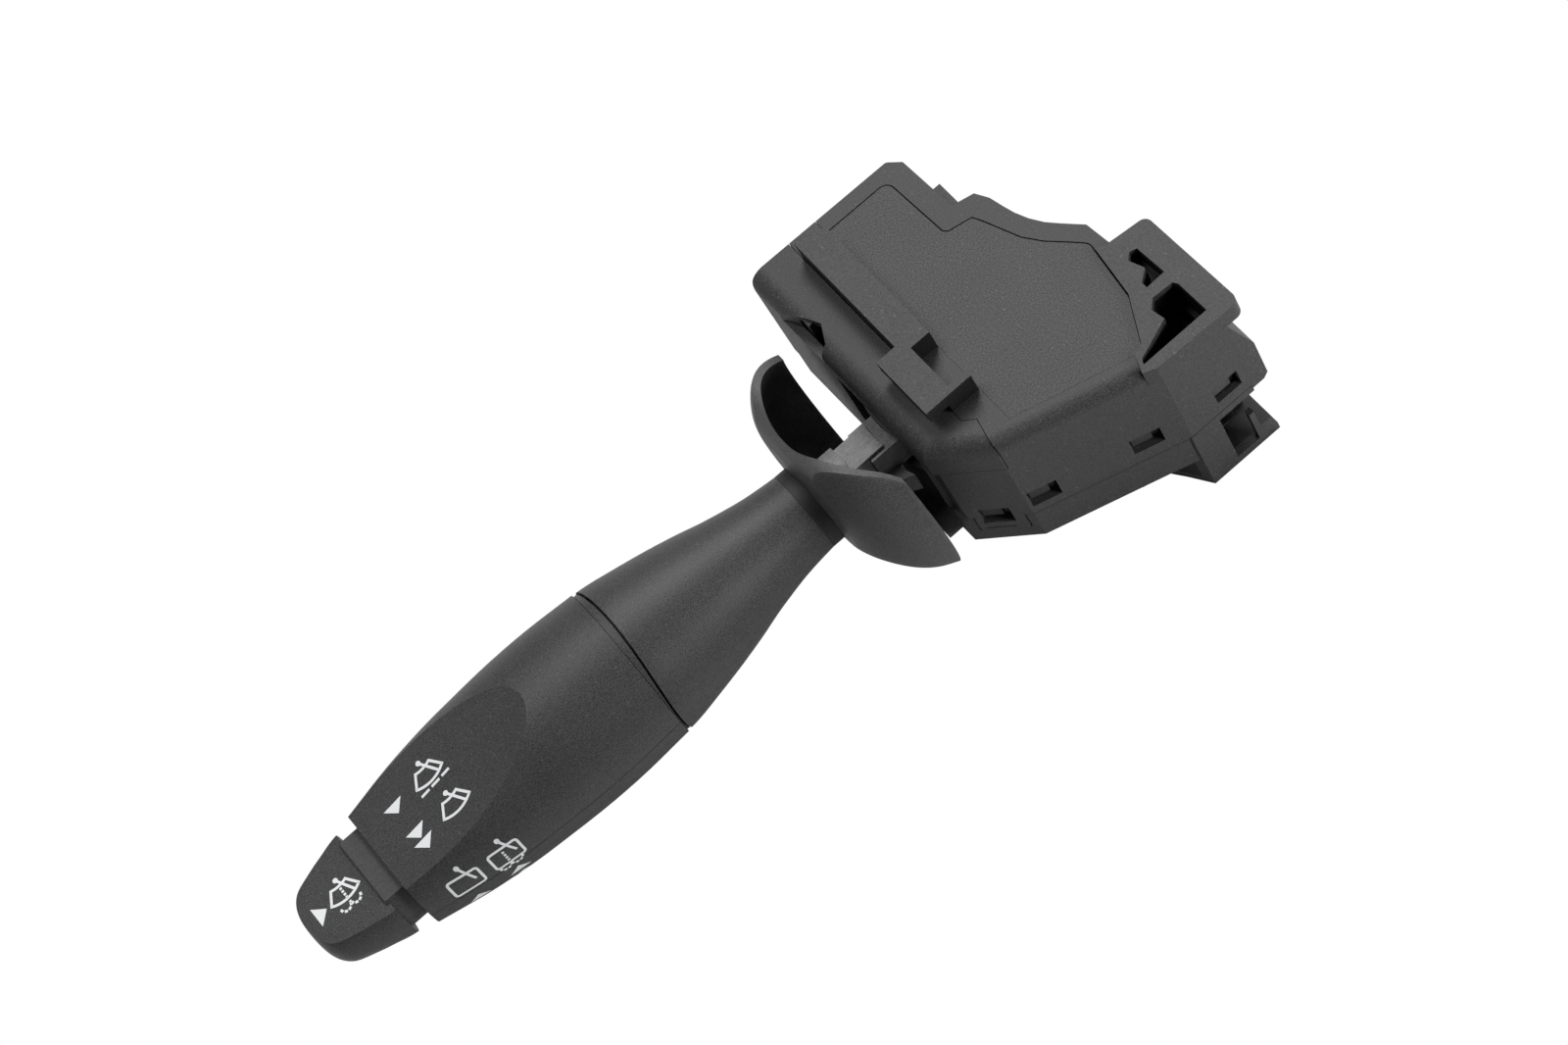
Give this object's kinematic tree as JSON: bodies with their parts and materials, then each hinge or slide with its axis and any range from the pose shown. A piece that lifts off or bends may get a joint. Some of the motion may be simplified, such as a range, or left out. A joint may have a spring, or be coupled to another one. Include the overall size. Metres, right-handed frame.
{
  "type": "combination stalk switch",
  "caption": "Column stalk switch with a faceted lever, scooped dust shroud, push knob and sliding contacts in a latched housing with bracket rail and end socket",
  "frame": {"origin": "where the upright swing axis of the lever meets the flat bracket face on top of the housing", "axes": "+X from the tip of the stalk toward the housing along the lever, +Z out of the bracket face, +Y completes the right-handed frame"},
  "size_m": [0.2075, 0.0755, 0.0549],
  "materials": {
    "housing_plastic": "fine grained moulded plastic",
    "panel_plastic": "fine grained moulded plastic, a shade lighter",
    "inner_plastic": "moulded plastic",
    "stalk_plastic": "satin moulded plastic",
    "dark_plastic": "dark moulded plastic",
    "light_plastic": "slippery moulded plastic",
    "contact_brass": "rolled brass",
    "steel": "drawn steel wire and rod",
    "board": "pressed laminate board"
  },
  "bodies": {
    "housing": {"main_cover": "housing_plastic", "front_cover": "housing_plastic", "top_plate": "panel_plastic", "side_frame": "housing_plastic", "end_cap": "housing_plastic", "base_housing": "housing_plastic", "connector_housing": "housing_plastic", "connector_terminals": "contact_brass", "slot_bezel": "inner_plastic", "contact_plate": "board", "contact_tracks": "contact_brass", "detent_track": "light_plastic"},
    "carrier": {"swing_carrier": "inner_plastic", "trunnion_pins": "steel", "pull_spring": "steel", "plunger_spring": "steel"},
    "plunger": {"swing_plunger": "steel"},
    "lever": {"lever_core": "stalk_plastic", "dust_shroud": "stalk_plastic", "collar_ring": "stalk_plastic", "sleeve": "stalk_plastic", "barrel_ring": "dark_plastic", "barrel_top": "stalk_plastic", "barrel_bottom": "stalk_plastic"},
    "button": {"wash_button": "stalk_plastic", "push_rod": "steel", "button_spring": "steel"},
    "swing_slide": {"swing_slider": "light_plastic", "swing_bridges": "contact_brass"},
    "pull_slide": {"pull_slider": "light_plastic", "pull_bridges": "contact_brass"},
    "wash_slide": {"wash_slider": "light_plastic", "wash_bridge": "contact_brass"}
  },
  "joints": [
    {"name": "lever_swing", "type": "hinge", "parent": "housing", "child": "carrier", "pos_m": [0, 0, -0.016], "axis": [0, 0, 1], "range_deg": [-6, 14]},
    {"name": "lever_pull", "type": "hinge", "parent": "carrier", "child": "lever", "pos_m": [0, 0, -0.016], "axis": [0, 1, 0], "range_deg": [0, 8], "stiffness_Nm_per_rad": 0.5, "springref_deg": -114.59, "deforming": ["pull_spring"]},
    {"name": "wash_button", "type": "slide", "parent": "lever", "child": "button", "axis": [1, 0, 0], "range_m": [0, 0.003], "stiffness_N_per_m": 400, "springref_m": -0.002},
    {"name": "swing_plunger", "type": "slide", "parent": "carrier", "child": "plunger", "axis": [0, 0, -1], "range_m": [0, 0.0006], "stiffness_N_per_m": 200, "deforming": ["plunger_spring"]},
    {"name": "swing_slider", "type": "slide", "parent": "housing", "child": "swing_slide", "axis": [0, 1, 0], "range_m": [-0.0018, 0.0042]},
    {"name": "pull_slider", "type": "slide", "parent": "housing", "child": "pull_slide", "axis": [0, 0, 1], "range_m": [-0.0016, 0]},
    {"name": "wash_slider", "type": "slide", "parent": "housing", "child": "wash_slide", "axis": [1, 0, 0], "range_m": [0, 0.003]}
  ],
  "couplings": [
    {"joint": "swing_slider", "follows": "lever_swing", "m_per_rad": 0.016},
    {"joint": "pull_slider", "follows": "lever_pull", "m_per_rad": -0.0105},
    {"joint": "wash_slider", "follows": "wash_button", "ratio": 1}
  ]
}
